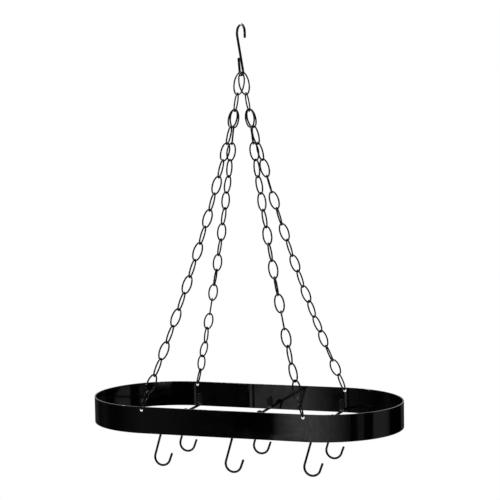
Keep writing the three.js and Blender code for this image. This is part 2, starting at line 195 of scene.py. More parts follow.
# %% World
ROOM_SOFT_LIGHT = 0.5
LOW_FADE = (15.0, 40.0)  # degrees above the horizon
HIGH_START, HIGH_FULL = 7.0, 10.0
HIGH_FRONT, HIGH_BACK = 0.02, 0.6  # brightness
HIGH_BACK_FULL = 0.6  # how far a ray leans back, from 0 to 1, where the pale screen is whole


def build_world():
    world = bpy.data.worlds.new("white_room")
    world.use_nodes = True
    nodes, links = world.node_tree.nodes, world.node_tree.links
    nodes.clear()
    output = nodes.new("ShaderNodeOutputWorld")
    background = nodes.new("ShaderNodeBackground")
    background.inputs["Color"].default_value = (1, 1, 1, 1)
    rays = nodes.new("ShaderNodeLightPath")
    split = nodes.new("ShaderNodeSeparateXYZ")
    links.new(nodes.new("ShaderNodeTexCoord").outputs["Generated"], split.inputs[0])
    towards_front = math_node(nodes, links, "MULTIPLY", split.outputs["Y"], -1.0)
    round_turn = math_node(nodes, links, "ARCTAN2", split.outputs["X"], towards_front)
    round_share = range_node(nodes, links, round_turn, 0, 1, -math.pi, math.pi)
    ramp = room_ramp(nodes)
    links.new(round_share, ramp.inputs[0])
    height = math_node(nodes, links, "ARCSINE", split.outputs["Z"])
    low_part = range_node(nodes, links, height, 1, 0, *(math.radians(v) for v in LOW_FADE))
    low_room = math_node(nodes, links, "MULTIPLY", ramp.outputs[0], low_part)
    above = range_node(
        nodes, links, height, 0, 1, math.radians(HIGH_START), math.radians(HIGH_FULL), True
    )
    behind = range_node(
        nodes, links, split.outputs["Y"], HIGH_FRONT, HIGH_BACK, 0.0, HIGH_BACK_FULL, True
    )
    high_room = math_node(nodes, links, "MULTIPLY", above, behind)
    mirrored = math_node(nodes, links, "ADD", low_room, high_room)
    soft = nodes.new("ShaderNodeMix")
    soft.inputs["A"].default_value = ROOM_SOFT_LIGHT
    links.new(rays.outputs["Is Glossy Ray"], soft.inputs["Factor"])
    links.new(mirrored, soft.inputs["B"])
    seen = nodes.new("ShaderNodeMix")
    seen.inputs["B"].default_value = 1.0
    links.new(rays.outputs["Is Camera Ray"], seen.inputs["Factor"])
    links.new(soft.outputs["Result"], seen.inputs["A"])
    links.new(seen.outputs["Result"], background.inputs["Strength"])
    links.new(background.outputs[0], output.inputs["Surface"])
    bpy.context.scene.world = world
    print("world:", len(nodes), "nodes")


build_world()

# %% [markdown]
# ## Lamps
# Wire is so thin here that a broad lamp would turn all of it grey. Small lamps keep it black
# and leave only points of light: one overhead for the rounded edges and the tops of the bends,
# a narrow upright one on the left for the sides of the links, and one near the ceiling hook
# for the shine on its crown.

# %% Lamps
LAMPS = {
    # name: (place, point it faces, width, height, watts)
    "overhead_lamp": ((0.3, -0.4, 1.5), (0, 0, -0.6), 0.6, 0.4, 12.0),
    "left_lamp": ((-1.5, -1.0, -0.1), (0, 0, -0.5), 0.12, 0.4, 8.0),
    "crown_lamp": ((-0.33, 0.13, 0.17), (0, 0, -0.01), 0.25, 0.25, 2.5),
}


def add_lamp(name, place, aim, width, height, watts):
    data = bpy.data.lights.new(name, "AREA")
    data.shape = "RECTANGLE"
    data.size, data.size_y = width, height
    data.energy = watts
    lamp = bpy.data.objects.new(name, data)
    lamp.location = place
    lamp.rotation_euler = (Vector(aim) - Vector(place)).to_track_quat("-Z", "Y").to_euler()
    lamp.visible_camera = False
    bpy.context.scene.collection.objects.link(lamp)


for lamp_name, facts in LAMPS.items():
    add_lamp(lamp_name, *facts)
print(len(LAMPS), "lamps")

# %% [markdown]
# ## The card by the right-hand end
# The front right of the band mirrors one more card, which stands close by it and a little below.
# It comes up softly from a dark left end, which keeps the room's own card out of this wall, and
# fades from white to grey towards its right, so the shine dies away round the bend. It is a
# strip of mesh that glows only where a mirrored ray meets it.

# %% Fading card
CARD_LEFT, CARD_RIGHT = (-0.08, -0.45, -0.768), (0.66, -0.45, -0.832)
CARD_HEIGHT = 0.075
CARD_STRIPS = 12
CARD_RISE = (0.002, 0.052)  # where it comes up, in metres along X
CARD_FADE_START, CARD_FADE_POWER = 0.17, 1.6  # metres along X, and how fast it fades
CARD_WHITE, CARD_END = 1.0, 0.10
CARD_CLOUD_SCALE, CARD_CLOUD_SPAN = 22.0, (0.35, 0.65)
CARD_UNEVEN = (0.62, 1.12)


def build_card():
    build = bmesh.new()
    left, right = Vector(CARD_LEFT), Vector(CARD_RIGHT)
    half = Vector((0, 0, CARD_HEIGHT / 2))
    columns = []
    for k in range(CARD_STRIPS + 1):
        middle = left.lerp(right, k / CARD_STRIPS)
        columns.append((build.verts.new(middle - half), build.verts.new(middle + half)))
    for (a, b), (c, d) in zip(columns, columns[1:]):
        build.faces.new((a, c, d, b))
    mesh = bpy.data.meshes.new("fading_card")
    build.to_mesh(mesh)
    build.free()
    card = bpy.data.objects.new("fading_card", mesh)
    bpy.context.scene.collection.objects.link(card)
    for kind in ("camera", "diffuse", "shadow", "transmission", "volume_scatter"):
        setattr(card, f"visible_{kind}", False)
    material, nodes, links = node_material("fading_card")
    nodes.remove(nodes["Principled BSDF"])
    split = nodes.new("ShaderNodeSeparateXYZ")
    links.new(nodes.new("ShaderNodeTexCoord").outputs["Object"], split.inputs[0])
    along = range_node(nodes, links, split.outputs["X"], 1, 0, CARD_FADE_START, right.x)
    curve = math_node(nodes, links, "POWER", along, CARD_FADE_POWER)
    fade = range_node(nodes, links, curve, CARD_END, CARD_WHITE)
    cloud = nodes.new("ShaderNodeTexNoise")
    cloud.inputs["Scale"].default_value = CARD_CLOUD_SCALE
    uneven = range_node(nodes, links, cloud.outputs["Fac"], *CARD_UNEVEN, *CARD_CLOUD_SPAN)
    rise = range_node(nodes, links, split.outputs["X"], 0, 1, *CARD_RISE)
    clouded = math_node(nodes, links, "MULTIPLY", fade, uneven)
    strength = math_node(nodes, links, "MULTIPLY", rise, clouded)
    glow = nodes.new("ShaderNodeEmission")
    links.new(strength, glow.inputs["Strength"])
    links.new(glow.outputs[0], nodes["Material Output"].inputs["Surface"])
    mesh.materials.append(material)
    print("card", round((right - left).length, 2), "m long")


build_card()

# %% [markdown]
# ## The floor
# The rack hangs well clear of any floor. A plain pale one lies far below it and throws soft
# light back up under the band. It is a disc no wider than needed, so that the band's face can
# mirror the cards that stand beyond it. To the camera it is nearly the white of the room, and
# what little it keeps of its own shading shows the rack's shadow.

# %% Floor
FLOOR_DROP = 1.2
FLOOR_RADIUS, FLOOR_SIDES = 2.4, 96
FLOOR_GREY, FLOOR_ROUGHNESS = 0.8, 0.9
FLOOR_WHITENESS = 0.92


def build_floor():
    bpy.ops.mesh.primitive_circle_add(
        vertices=FLOOR_SIDES, radius=FLOOR_RADIUS, fill_type="TRIFAN"
    )
    floor = bpy.context.active_object
    floor.name = "floor"
    floor.location.z = cad_low.z - FLOOR_DROP
    material, nodes, links = node_material("pale_floor")
    surface = nodes["Principled BSDF"]
    surface.inputs["Base Color"].default_value = (FLOOR_GREY, FLOOR_GREY, FLOOR_GREY, 1)
    surface.inputs["Roughness"].default_value = FLOOR_ROUGHNESS
    glow = nodes.new("ShaderNodeEmission")
    rays = nodes.new("ShaderNodeLightPath")
    share = range_node(nodes, links, rays.outputs["Is Camera Ray"], 0, FLOOR_WHITENESS)
    mix = nodes.new("ShaderNodeMixShader")
    links.new(share, mix.inputs[0])
    links.new(surface.outputs[0], mix.inputs[1])
    links.new(glow.outputs[0], mix.inputs[2])
    links.new(mix.outputs[0], nodes["Material Output"].inputs["Surface"])
    floor.data.materials.append(material)
    print("floor at", round(floor.location.z, 2))


build_floor()

# %% [markdown]
# ## Black paint
# The paint is a black enamel that has flowed out glossy, with a very fine ripple, and it is
# duller in places. It is dullest on the bars, whose beaten ends were left as the hammer and the
# torch made them. One function makes all four paints, so the ripple and the uneven gloss have
# real sizes in each: the noise runs on object coordinates, which are metres here. The band's
# steel was rolled flat and then bent round, which leaves upright waves in it; they come from
# noise that is stretched along Z. On its sharp edges the paint has worn thin, and the steel
# shines through in patches.

# %% Paint
PAINTS = {
    # name: (darkest colour, lightest colour, lowest roughness, highest roughness)
    "hook_paint": ((0.0008, 0.0008, 0.0009), (0.002, 0.002, 0.0022), 0.16, 0.28),
    "chain_paint": ((0.0008, 0.0008, 0.0009), (0.002, 0.002, 0.0021), 0.10, 0.20),
    "band_paint": ((0.0003, 0.0003, 0.0003), (0.0010, 0.0010, 0.0011), 0.05, 0.10),
    "bar_paint": ((0.0008, 0.0008, 0.0008), (0.002, 0.002, 0.002), 0.30, 0.42),
}
# each noise's scale, in patches to a metre, and how much finer detail it has
COLOUR_PATCHES, GLOSS_PATCHES, RIPPLES = (28.0, 3.0), (60.0, 4.0), (900.0, 1.0)
GLOSS_SPAN = (0.3, 0.7)
RIPPLE_HEIGHT = 0.000004


def noise_node(nodes, links, source, scale, detail):
    noise = nodes.new("ShaderNodeTexNoise")
    noise.inputs["Scale"].default_value = scale
    noise.inputs["Detail"].default_value = detail
    links.new(source, noise.inputs["Vector"])
    return noise.outputs["Fac"]


def bump_node(nodes, links, height, distance, normal=None):
    node = nodes.new("ShaderNodeBump")
    node.inputs["Distance"].default_value = distance
    links.new(height, node.inputs["Height"])
    if normal is not None:
        links.new(normal, node.inputs["Normal"])
    return node.outputs["Normal"]


def mix_colour(nodes, links, factor, one, other):
    node = nodes.new("ShaderNodeMix")
    node.data_type = "RGBA"
    links.new(factor, node.inputs[0])
    # a Mix node has a pair of sockets for each type of data, and these are the colours
    for socket, value in ((node.inputs[6], one), (node.inputs[7], other)):
        if isinstance(value, tuple):
            socket.default_value = (*value, 1)
        else:
            links.new(value, socket)
    return node.outputs[2]


def black_paint(name, dark, light, rough_low, rough_high):
    material, nodes, links = node_material(name)
    surface = nodes["Principled BSDF"]
    where = nodes.new("ShaderNodeTexCoord").outputs["Object"]
    patches = noise_node(nodes, links, where, *COLOUR_PATCHES)
    colour = mix_colour(nodes, links, patches, dark, light)
    links.new(colour, surface.inputs["Base Color"])
    gloss = noise_node(nodes, links, where, *GLOSS_PATCHES)
    rough = range_node(nodes, links, gloss, rough_low, rough_high, *GLOSS_SPAN)
    links.new(rough, surface.inputs["Roughness"])
    ripple = noise_node(nodes, links, where, *RIPPLES)
    links.new(bump_node(nodes, links, ripple, RIPPLE_HEIGHT), surface.inputs["Normal"])
    return material


hook_paint, chain_paint, band_paint, bar_paint = (
    black_paint(name, *facts) for name, facts in PAINTS.items()
)
print("paints:", list(PAINTS))

# %% [markdown]
# ## What sets the band's paint apart
# The upright waves and the worn edges are added to the band's paint alone. Its height above the
# band's middle tells how near a point is to an edge, and a noise breaks the wear into patches.

# %% Waves and worn edges on the band
BROAD_WAVE, FINE_WAVE = (14.0, 0.00035), (75.0, 0.00008)  # noise scale and height
WAVE_STRETCH, WAVE_DETAIL = 0.12, 1.0
FLAT_SHARE = 0.12  # of the waves, left on the straight walls
BEND_START = (0.165, 0.215)  # metres from the middle, where they grow to full
WEAR_DEPTH, WEAR_FULL_DEPTH = 0.0008, 0.0002  # from the edge: where wear begins and is full
WEAR_STEEL = (0.20, 0.196, 0.192)
WEAR_PATCHES, WEAR_SPAN = (90.0, 4.0), (0.4, 0.6)
WEAR_LEAST = 0.35
band_low, band_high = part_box("oval_band")


def age_band_paint(material):
    nodes, links = material.node_tree.nodes, material.node_tree.links
    surface = nodes["Principled BSDF"]
    where = nodes.new("ShaderNodeTexCoord").outputs["Object"]
    stretch = nodes.new("ShaderNodeMapping")
    stretch.inputs["Scale"].default_value = (1.0, 1.0, WAVE_STRETCH)
    links.new(where, stretch.inputs["Vector"])
    split = nodes.new("ShaderNodeSeparateXYZ")
    links.new(where, split.inputs[0])
    from_centre = math_node(nodes, links, "ABSOLUTE", split.outputs["X"])
    bent = range_node(nodes, links, from_centre, FLAT_SHARE, 1, *BEND_START, True)
    normal = surface.inputs["Normal"].links[0].from_socket
    for scale, height in (BROAD_WAVE, FINE_WAVE):
        noise = noise_node(nodes, links, stretch.outputs["Vector"], scale, WAVE_DETAIL)
        wave = math_node(nodes, links, "MULTIPLY", noise, bent)
        normal = bump_node(nodes, links, wave, height, normal)
    links.new(normal, surface.inputs["Normal"])
    middle, half = (band_low.z + band_high.z) / 2, (band_high.z - band_low.z) / 2
    height = math_node(nodes, links, "SUBTRACT", split.outputs["Z"], middle)
    from_middle = math_node(nodes, links, "ABSOLUTE", height)
    edge = range_node(
        nodes, links, from_middle, 0, 1, half - WEAR_DEPTH, half - WEAR_FULL_DEPTH, True
    )
    noise = noise_node(nodes, links, where, *WEAR_PATCHES)
    patches = range_node(nodes, links, noise, WEAR_LEAST, 1, *WEAR_SPAN)
    worn = math_node(nodes, links, "MULTIPLY", edge, patches)
    painted = surface.inputs["Base Color"].links[0].from_socket
    links.new(mix_colour(nodes, links, worn, painted, WEAR_STEEL), surface.inputs["Base Color"])
    links.new(worn, surface.inputs["Metallic"])


age_band_paint(band_paint)
print("band's paint reaches from", round(band_low.z, 4), "to", round(band_high.z, 4))

# %% [markdown]
# ## One way to make a swept piece
# Blender can sweep a circle along a curve by itself, through a curve's bevel depth. Writing the
# sweep out gives two things that needs: the section may change along the way, as where a round
# bar is beaten flat, and the ends can be closed with a small chamfer. A station holds a centre
# and two half axes, and the mesh joins each ring of points to the next.

# %% Sweep a section through stations
SHARP_ANGLE = 40.0


def ring_points(centre, half_a, half_b, square, sides):
    """Corners of a rounded section; square is 1 for an ellipse and nears 0 for a rectangle."""
    for k in range(sides):
        angle = 2 * math.pi * k / sides
        cos, sin = math.cos(angle), math.sin(angle)
        yield (
            centre
            + half_a * math.copysign(abs(cos) ** square, cos)
            + half_b * math.copysign(abs(sin) ** square, sin)
        )


def join_rings(build, one, other):
    """A closed strip of faces from one ring of corners to the next."""
    for k in range(len(one)):
        following = (k + 1) % len(one)
        build.faces.new((one[k], one[following], other[following], other[k]))


def swept_mesh(name, stations, sides, closed=False):
    mesh = bpy.data.meshes.new(name)
    build = bmesh.new()
    rings = [
        [build.verts.new(p) for p in ring_points(*station, sides)] for station in stations
    ]
    pairs = list(zip(rings, rings[1:]))
    if closed:
        pairs.append((rings[-1], rings[0]))
    else:
        build.faces.new(list(reversed(rings[0])))
        build.faces.new(rings[-1])
    for one, other in pairs:
        join_rings(build, one, other)
    bmesh.ops.recalc_face_normals(build, faces=build.faces)
    build.to_mesh(mesh)
    build.free()
    mesh.shade_smooth()
    mesh.set_sharp_from_angle(angle=math.radians(SHARP_ANGLE))
    return mesh


# %% [markdown]
# ## Putting a piece on its body
# A piece of the real rack hangs on some other, and moves with it. Here it is parented to an
# empty named for its CAD body, takes its paint, and hides the CAD solids that it stands for.
# Pieces that are alike share one mesh until each is put in its place.

# %% Pieces
def add_piece(name, mesh, material, body, slot, *nodes, place=None):
    if place is not None:
        mesh = mesh.copy()
        mesh.transform(place)
    mesh.name = name
    mesh.materials.clear()
    mesh.materials.append(material)
    piece = bpy.data.objects.new(name, mesh)
    bpy.context.scene.collection.objects.link(piece)
    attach(piece, body)
    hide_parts(*nodes)
    return piece


# %% [markdown]
# ## Bent wire
# Every hook is a drawing of arcs and straight legs, swept with a circle. The wire is sheared
# off at its ends, and paint rounds the cut, so the last ring steps in through a small chamfer.
# The CAD part draws bare wire; the paint adds a little over a tenth of a millimetre all round.

# %% Wire along a drawing
ARC_STEP = 4.0
WIRE_SIDES = 20
PAINT_THICKNESS = 0.00015
# rings at a painted end: how far in from the cut, and how wide, in radii of the wire
PAINTED_END = ((0.0, 0.62), (0.10, 0.80), (0.28, 0.94), (0.55, 1.0))


def arc_points(centre, radius, start, stop, step=ARC_STEP):
    count = math.ceil(abs(stop - start) / step)
    angles = [math.radians(start + (stop - start) * i / count) for i in range(count + 1)]
    return [centre + Vector((math.cos(a), math.sin(a))) * radius for a in angles]


def point_away(origin, distance, direction):
    angle = math.radians(direction)
    return origin + Vector((math.cos(angle), math.sin(angle))) * distance


def wire_mesh(name, drawing, wire, flat, paint=PAINT_THICKNESS):
    """A round wire along a flat drawing whose first axis is `flat` and whose second is +Z."""
    radius = wire / 2 + paint
    up = Vector((0, 0, 1))
    normal = flat.cross(up)
    points = [flat * p.x + up * p.y for p in drawing]
    stations = []
    for i, point in enumerate(points):
        before = points[max(i - 1, 0)]
        after = points[min(i + 1, len(points) - 1)]
        in_plane = normal.cross((after - before).normalized())
        stations.append([point, in_plane, normal])
    ends = []
    for end, neighbour in ((0, 1), (-1, -2)):
        point, in_plane, across = stations[end]
        inward = (stations[neighbour][0] - point).normalized()
        ends.append([
            (
                point + inward * radius * depth,
                in_plane * radius * share, across * radius * share, 1.0,
            )
            for depth, share in PAINTED_END
        ])
    middle = [(p, a * radius, b * radius, 1.0) for p, a, b in stations[1:-1]]
    return swept_mesh(name, ends[0] + middle + list(reversed(ends[1])), WIRE_SIDES)


# %% [markdown]
# ## The ceiling hook
# An S of thick wire. Its upper eye hangs over whatever the ceiling offers, and the two wire
# ovals lie side by side in its lower eye. The straight leg touches both circles, so its lean
# follows from their radii and the distance between them. The hook and the rings that sway in
# it keep the bare wire's thickness, because their play is only a few tenths of a millimetre.

# %% Ceiling hook
CLEARANCE = 0.0003
SWAY_CLEARANCE = 0.0006
HOOK_HEIGHT = 0.100
HOOK_WIRE = 0.0048
HOOK_TURN = -43.0  # degrees about Z from the rack's length
UPPER_EYE_RADIUS = 0.0155
UPPER_TIP_LENGTH = 0.011
LOWER_TIP_LENGTH = 0.028
LOWER_TIP_FLARE = 8.0
OVAL_LENGTH, OVAL_WIDTH, OVAL_WIRE = 0.046, 0.022, 0.003
OVAL_TURN = 30.0  # degrees about Z, of the ovals' broad sides
OVAL_PAIR_GAP = 0.0007
OVAL_SEAT_DEPTH = 0.0012  # below the middle of the lower eye

hook_turn = math.radians(HOOK_TURN)
hook_flat = Vector((math.cos(hook_turn), math.sin(hook_turn), 0))
oval_offset = (OVAL_WIRE + OVAL_PAIR_GAP) / 2
lower_eye_radius = (
    math.hypot(oval_offset, OVAL_SEAT_DEPTH) + HOOK_WIRE / 2 + OVAL_WIRE / 2 + SWAY_CLEARANCE
)
upper_eye = Vector((0, HOOK_WIRE / 2 - UPPER_EYE_RADIUS))
lower_eye = Vector((0, HOOK_WIRE - HOOK_HEIGHT + HOOK_WIRE / 2 + lower_eye_radius))


def ceiling_hook_drawing():
    reach = (UPPER_EYE_RADIUS + lower_eye_radius) / (upper_eye.y - lower_eye.y)
    lean_of_leg = math.degrees(math.asin(reach))
    upper = arc_points(upper_eye, UPPER_EYE_RADIUS, 0, 180 + lean_of_leg)
    lower = arc_points(lower_eye, lower_eye_radius, lean_of_leg, LOWER_TIP_FLARE - 180)
    upper_tip = point_away(upper[0], UPPER_TIP_LENGTH, -90)
    lower_tip = point_away(lower[-1], LOWER_TIP_LENGTH, 90 + LOWER_TIP_FLARE)
    return [upper_tip, *upper, *lower, lower_tip]


add_piece(
    "ceiling_hook_wire",
    wire_mesh("ceiling_hook_wire", ceiling_hook_drawing(), HOOK_WIRE, hook_flat, paint=0),
    hook_paint, "ceiling_hook", "hook_paint", "ceiling_hook",
)
print("ceiling hook", round(HOOK_HEIGHT * 1000), "mm tall")

# %% [markdown]
# ## Links
# A chain link is a length of wire bent into an oval and closed on itself. A torus squeezed in
# edit mode would thin the wire at the sides, so the circle is swept round an ellipse instead
# and stays round. Its two ends meet in the middle of one side, where a fine crease is left.

# %% Ring of wire with its butt joint
RING_STEPS = 56
RING_SIDES = 14
CROWN_CROWDING = 0.25  # moves stations towards the tight bends at top and bottom
JOINT_CREASE = 0.78  # of the wire's thickness, left at the joint
JOINT_HALF_WIDTH = 0.0004


def ring_mesh(name, length, width, wire, paint=PAINT_THICKNESS):
    half_length, half_width = (length - wire) / 2, (width - wire) / 2
    radius = wire / 2 + paint
    angles = []
    for i in range(RING_STEPS):
        even = 2 * math.pi * (i + 0.5) / RING_STEPS
        angles.append((even - CROWN_CROWDING * math.sin(2 * even), 1.0))
    crease = JOINT_HALF_WIDTH / half_length
    joint = math.pi / 2
    angles += [(joint - crease, 1.0), (joint, JOINT_CREASE), (joint + crease, 1.0)]
    stations = []
    for angle, share in sorted(angles):
        centre = Vector((half_width * math.sin(angle), 0, half_length * math.cos(angle)))
        outward = Vector((half_length * math.sin(angle), 0, half_width * math.cos(angle)))
        outward.normalize()
        size = radius * share
        stations.append((centre, outward * size, Vector((0, size, 0)), 1.0))
    return swept_mesh(name, stations, RING_SIDES, closed=True)


# %% [markdown]
# ## How the chains hang
# Each link has to sit exactly where its solid does, so the chain's line is worked out again
# with the CAD part's own rule. A chain drops evenly and runs out slowly at first. Its last
# link must reach the hole in the band, and that fixes how far the band hangs below the hook.

# %% The chains' line
RACK_LENGTH, RACK_WIDTH = 0.610, 0.297
BAND_THICKNESS = 0.0025
HOLE_DIAMETER, HOLE_DEPTH = 0.0066, 0.0056
LINKS_PER_CHAIN = 18
LINK_LENGTH, LINK_WIDTH, LINK_WIRE = 0.0383, 0.0195, 0.0028
LINK_WELD = 0.0004
CHAIN_SAG = 0.075
LINE_STEPS = 100

link_crown_span = LINK_LENGTH - LINK_WIRE
oval_crown_span = OVAL_LENGTH - OVAL_WIRE
link_seat = LINK_WIRE + CLEARANCE
hole_x = (RACK_LENGTH - RACK_WIDTH) / 2
hole_y = (RACK_WIDTH - BAND_THICKNESS) / 2


def line_point(top, end, t):
    out = t - 4 * CHAIN_SAG * t * (1 - t)
    return Vector((
        top.x + (end.x - top.x) * out,
        top.y + (end.y - top.y) * out,
        top.z + (end.z - top.z) * t,
    ))


def line_table(top, end):
    """The length along the line from its top to each of its points."""
    points = [line_point(top, end, i / LINE_STEPS) for i in range(LINE_STEPS + 1)]
    lengths = [0.0]
    for one, other in zip(points, points[1:]):
        lengths.append(lengths[-1] + (other - one).length)
    return lengths


def line_point_at(top, end, lengths, distance):
    distance = min(distance, lengths[-1])
    i = max(k for k in range(LINE_STEPS) if lengths[k] <= distance)
    share = (distance - lengths[i]) / (lengths[i + 1] - lengths[i])
    return line_point(top, end, (i + share) / LINE_STEPS)


def link_start(i):
    welded = link_crown_span - LINK_WIRE + LINK_WELD
    hung = link_crown_span - link_seat
    return (i // 2) * (welded + hung) + (i % 2) * welded


chain_length = link_start(LINKS_PER_CHAIN - 1) + link_crown_span
# a leaning link's crown rests in its hole beside its tip, so the tip lies outside the wall's middle
crown_radius = (LINK_WIDTH - LINK_WIRE) ** 2 / (2 * link_crown_span)
last_crown_y = hole_y + crown_radius * hole_y / chain_length
print("a chain is", round(chain_length, 4), "m long")

# %% [markdown]
# ## From the hook down to the chains
# Each oval is pulled over to its own side and hangs in line with its shared link, and the first
# links of two chains lie side by side on the shared link's lower end. All of that follows from
# how far the ovals lean, so it is written as functions of the lean, to be solved for later.

# %% Ends of the ovals, the shared links and the chains
SOLVE_ROUNDS = 60
SEAT_ANGLES = (0.1, 1.2)  # round the shared link's end, in radians, with the seat between them


def solve(rising, low, high):
    """Where a rising function passes zero, by halving the stretch that holds it."""
    for _ in range(SOLVE_ROUNDS):
        middle = (low + high) / 2
        if rising(middle) > 0:
            high = middle
        else:
            low = middle
    return (low + high) / 2


def pull_direction(side, lean):
    return Vector((side * math.sin(lean), 0, -math.cos(lean)))


def oval_ends(side, lean):
    upper = hook_flat * (side * oval_offset)
    upper.z = lower_eye.y - OVAL_SEAT_DEPTH
    lower = upper + pull_direction(side, lean) * oval_crown_span
    drop = math.sqrt(oval_crown_span ** 2 - (lower.x - upper.x) ** 2 - upper.y ** 2)
    return upper, Vector((lower.x, 0, upper.z - drop))


def shared_ends(side, lean):
    pull = pull_direction(side, lean)
    upper = oval_ends(side, lean)[1] - pull * ((OVAL_WIRE + LINK_WIRE) / 2 + SWAY_CLEARANCE)
    return upper, upper + pull * link_crown_span


def chain_top(side, face, lean):
    """A chain's first link lies beside its neighbour on the shared link's lower end."""
    half_length, half_width = link_crown_span / 2, (LINK_WIDTH - LINK_WIRE) / 2

    def offset_point(angle):
        cos, sin = math.cos(angle), math.sin(angle)
        normal = math.hypot(half_width * cos, half_length * sin)
        return (
            half_width * sin - link_seat * half_length * sin / normal,
            half_length * cos - link_seat * half_width * cos / normal,
        )

    angle = solve(lambda value: offset_point(value)[0] - link_seat / 2, *SEAT_ANGLES)
    aside, along = offset_point(angle)
    upper, lower = shared_ends(side, lean)
    return (upper + lower) / 2 + pull_direction(side, lean) * along + Vector((0, face * aside, 0))


print("upright ovals would end at z =", round(oval_ends(1, 0.0)[1].z, 4))

# %% [markdown]
# ## Where it all settles
# The lean sets where the chains start, and the chains' direction sets the lean. Going round a
# few times, from a fair guess, settles both. In each round the drop is the one at which the
# line from a chain's top to its hole is just as long as the chain.

# %% Settle the lean and the drop
FIRST_LEAN = 0.15
SETTLE_ROUNDS = 10


def settle():
    lean, drop = FIRST_LEAN, chain_length
    for _ in range(SETTLE_ROUNDS):
        top = chain_top(1, 1, lean)

        def spare_line(value):
            end = Vector((hole_x, last_crown_y, top.z - value))
            return line_table(top, end)[-1] - chain_length

        drop = solve(spare_line, 0, chain_length)
        lean = math.atan((1 - 4 * CHAIN_SAG) * (hole_x - top.x) / drop)
    return lean, drop


lean, drop = settle()
last_crown_z = chain_top(1, 1, lean).z - drop
hole_z = band_high.z - HOLE_DEPTH
print("lean of the ovals, degrees:", round(math.degrees(lean), 2))
print("last link ends at", round(last_crown_z, 5), "and its hole is at", round(hole_z, 5))

# %% [markdown]
# ## Hanging the links
# All 76 rings are made from three meshes, for the large ovals, the two shared links and the
# chains' own links, so a change to a link changes them all. Each is placed by a matrix whose
# third column points up along the chain and whose first is the ring's broad side. Three of the
# chains were hooked up with half a turn of twist, which their links take up mostly near the
# two ends.

# %% Ovals, shared links and chains
TWIST_GATHER = 0.8
CHAINS = (
    # name, side, face, half turns of twist
    ("chain_front_left", -1, -1, 0),
    ("chain_front_right", 1, -1, 1),
    ("chain_back_left", -1, 1, 1),
    ("chain_back_right", 1, 1, -1),
)
X_AXIS, Y_AXIS = Vector((1, 0, 0)), Vector((0, 1, 0))


def ring_place(upper, lower, broad):
    up = (upper - lower).normalized()
    across = (broad - up * broad.dot(up)).normalized()
    axes = Matrix((across, up.cross(across), up)).transposed().to_4x4()
    return Matrix.Translation((upper + lower) / 2) @ axes


def link_turn(i, half_turns):
    along = i / (LINKS_PER_CHAIN - 1)
    gathered = along + TWIST_GATHER * math.sin(2 * math.pi * along) / (2 * math.pi)
    return math.pi / 2 * i - math.pi * half_turns * gathered


large_oval = ring_mesh("large_oval", OVAL_LENGTH, OVAL_WIDTH, OVAL_WIRE, paint=0)
shared_link = ring_mesh("shared_link", LINK_LENGTH, LINK_WIDTH, LINK_WIRE, paint=0)
chain_link = ring_mesh("chain_link", LINK_LENGTH, LINK_WIDTH, LINK_WIRE)
oval_broad = Matrix.Rotation(math.radians(OVAL_TURN), 3, "Z") @ X_AXIS
for word, side in (("left", -1), ("right", 1)):
    add_piece(
        f"top_oval_ring_{word}", large_oval, chain_paint, "top_ovals", "chain_steel",
        f"top_oval_{word}", place=ring_place(*oval_ends(side, lean), oval_broad),
    )
    add_piece(
        f"shared_link_ring_{word}", shared_link, chain_paint, "rack", "chain_steel",
        f"shared_link_{word}", place=ring_place(*shared_ends(side, lean), Y_AXIS),
    )


def hang_chain(name, side, face, half_turns):
    top = chain_top(side, face, lean)
    end = Vector((side * hole_x, face * last_crown_y, last_crown_z))
    lengths = line_table(top, end)
    for i in range(LINKS_PER_CHAIN):
        upper = line_point_at(top, end, lengths, link_start(i))
        lower = line_point_at(top, end, lengths, link_start(i) + link_crown_span)
        down = (lower - upper).normalized()
        across = (X_AXIS - down * X_AXIS.dot(down)).normalized()
        broad = Matrix.Rotation(link_turn(i, half_turns), 3, down) @ across
        first = i - i % 2 + 1
        add_piece(
            f"{name}_link_{i + 1:02d}", chain_link, chain_paint, "rack", "chain_steel",
            f"{name}_links_{first:02d}_{first + 1:02d}", place=ring_place(upper, lower, broad),
        )


for chain in CHAINS:
    hang_chain(*chain)
print("hung", len(CHAINS) * LINKS_PER_CHAIN, "chain links")

# %% [markdown]
# ## The band
# The band is one strip of steel bent round until its ends meet, then welded on the back wall.
# It could be a curve with a bevel profile, but the weld changes the section on the way, so the
# section is drawn here and carried round by hand. It is a thin upright bar whose edges are
# rolled over.

# %% The strip's section
EDGE_RADIUS = 0.0007
EDGE_STEPS = 4


def band_section(inner_cut):
    """Points of the upright strip's section as (out from the middle, up), from the low inside."""
    outer = BAND_THICKNESS / 2
    inner = -BAND_THICKNESS / 2 + inner_cut
    top, bottom = band_high.z, band_low.z
    corners = ((inner, bottom, 180), (outer, bottom, 270), (outer, top, 0), (inner, top, 90))
    points = []
    for out, up, start in corners:
        centre_out = out + (EDGE_RADIUS if out == inner else -EDGE_RADIUS)
        centre_up = up + (EDGE_RADIUS if up == bottom else -EDGE_RADIUS)
        for k in range(EDGE_STEPS + 1):
            angle = math.radians(start + 90 * k / EDGE_STEPS)
            points.append((
                centre_out + EDGE_RADIUS * math.cos(angle),
                centre_up + EDGE_RADIUS * math.sin(angle),
            ))
    return points


print("section:", len(band_section(0.0)), "points")

# %% [markdown]
# ## The band's outline
# Two straight walls and two round ends make the oval. Hand-bent strip is never quite true: the
# front wall swells a little beside the right-hand hole, and the weld has drawn the back wall
# in. At the weld the inside has a dark line and beside it a dressed stripe, so there the
# section's inner side moves in and out by fractions of a millimetre.

